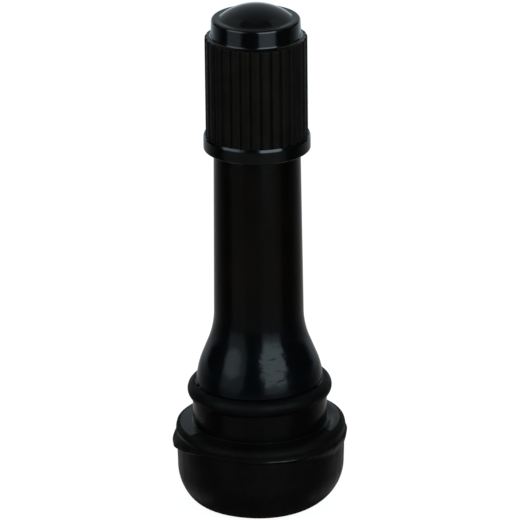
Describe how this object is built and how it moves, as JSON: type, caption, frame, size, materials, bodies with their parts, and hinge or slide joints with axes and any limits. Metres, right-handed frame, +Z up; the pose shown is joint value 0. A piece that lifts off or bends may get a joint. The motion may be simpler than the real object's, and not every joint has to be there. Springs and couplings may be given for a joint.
{
  "type": "tyre valve",
  "caption": "Black rubber snap-in tyre valve with a rim groove, a threaded brass stem, a spring-loaded valve core and a ribbed screw cap.",
  "frame": {"origin": "middle of the flat face that the base stands on", "axes": "+Z up along the stem, from the base to the cap; X and Y are alike, because the valve is round"},
  "size_m": [0.0186, 0.0186, 0.0551],
  "materials": {
    "body_rubber": "moulded black rubber, satin",
    "cap_plastic": "moulded black plastic, half gloss",
    "stem_brass": "turned",
    "core_brass": "turned, bright",
    "spring_steel": "drawn wire",
    "seal_rubber": "soft black rubber, matt"
  },
  "bodies": {
    "stem": {"rubber_body": "body_rubber", "brass_stem": "stem_brass", "core_plug": "core_brass", "core_barrel": "core_brass", "barrel_gasket": "seal_rubber", "core_spring": "spring_steel"},
    "pin": {"core_pin": "core_brass", "valve_cup": "core_brass", "cup_seal": "seal_rubber"},
    "washer": {"cap_seal": "seal_rubber"},
    "cap": {"valve_cap": "cap_plastic"}
  },
  "joints": [
    {"name": "pin_press", "type": "slide", "parent": "stem", "child": "pin", "axis": [0, 0, 1], "range_m": [-0.0013, 0], "stiffness_N_per_m": 600, "deforming": ["core_spring"]},
    {"name": "cap_lift", "type": "slide", "parent": "stem", "child": "washer", "axis": [0, 0, 1], "range_m": [0, 0.0105]},
    {"name": "cap_turn", "type": "hinge", "parent": "washer", "child": "cap", "pos_m": [0, 0, 0.049], "axis": [0, 0, 1], "range_deg": [0, 4763]}
  ],
  "couplings": [
    {"joint": "cap_turn", "follows": "cap_lift", "rad_per_m": 7915.8}
  ]
}
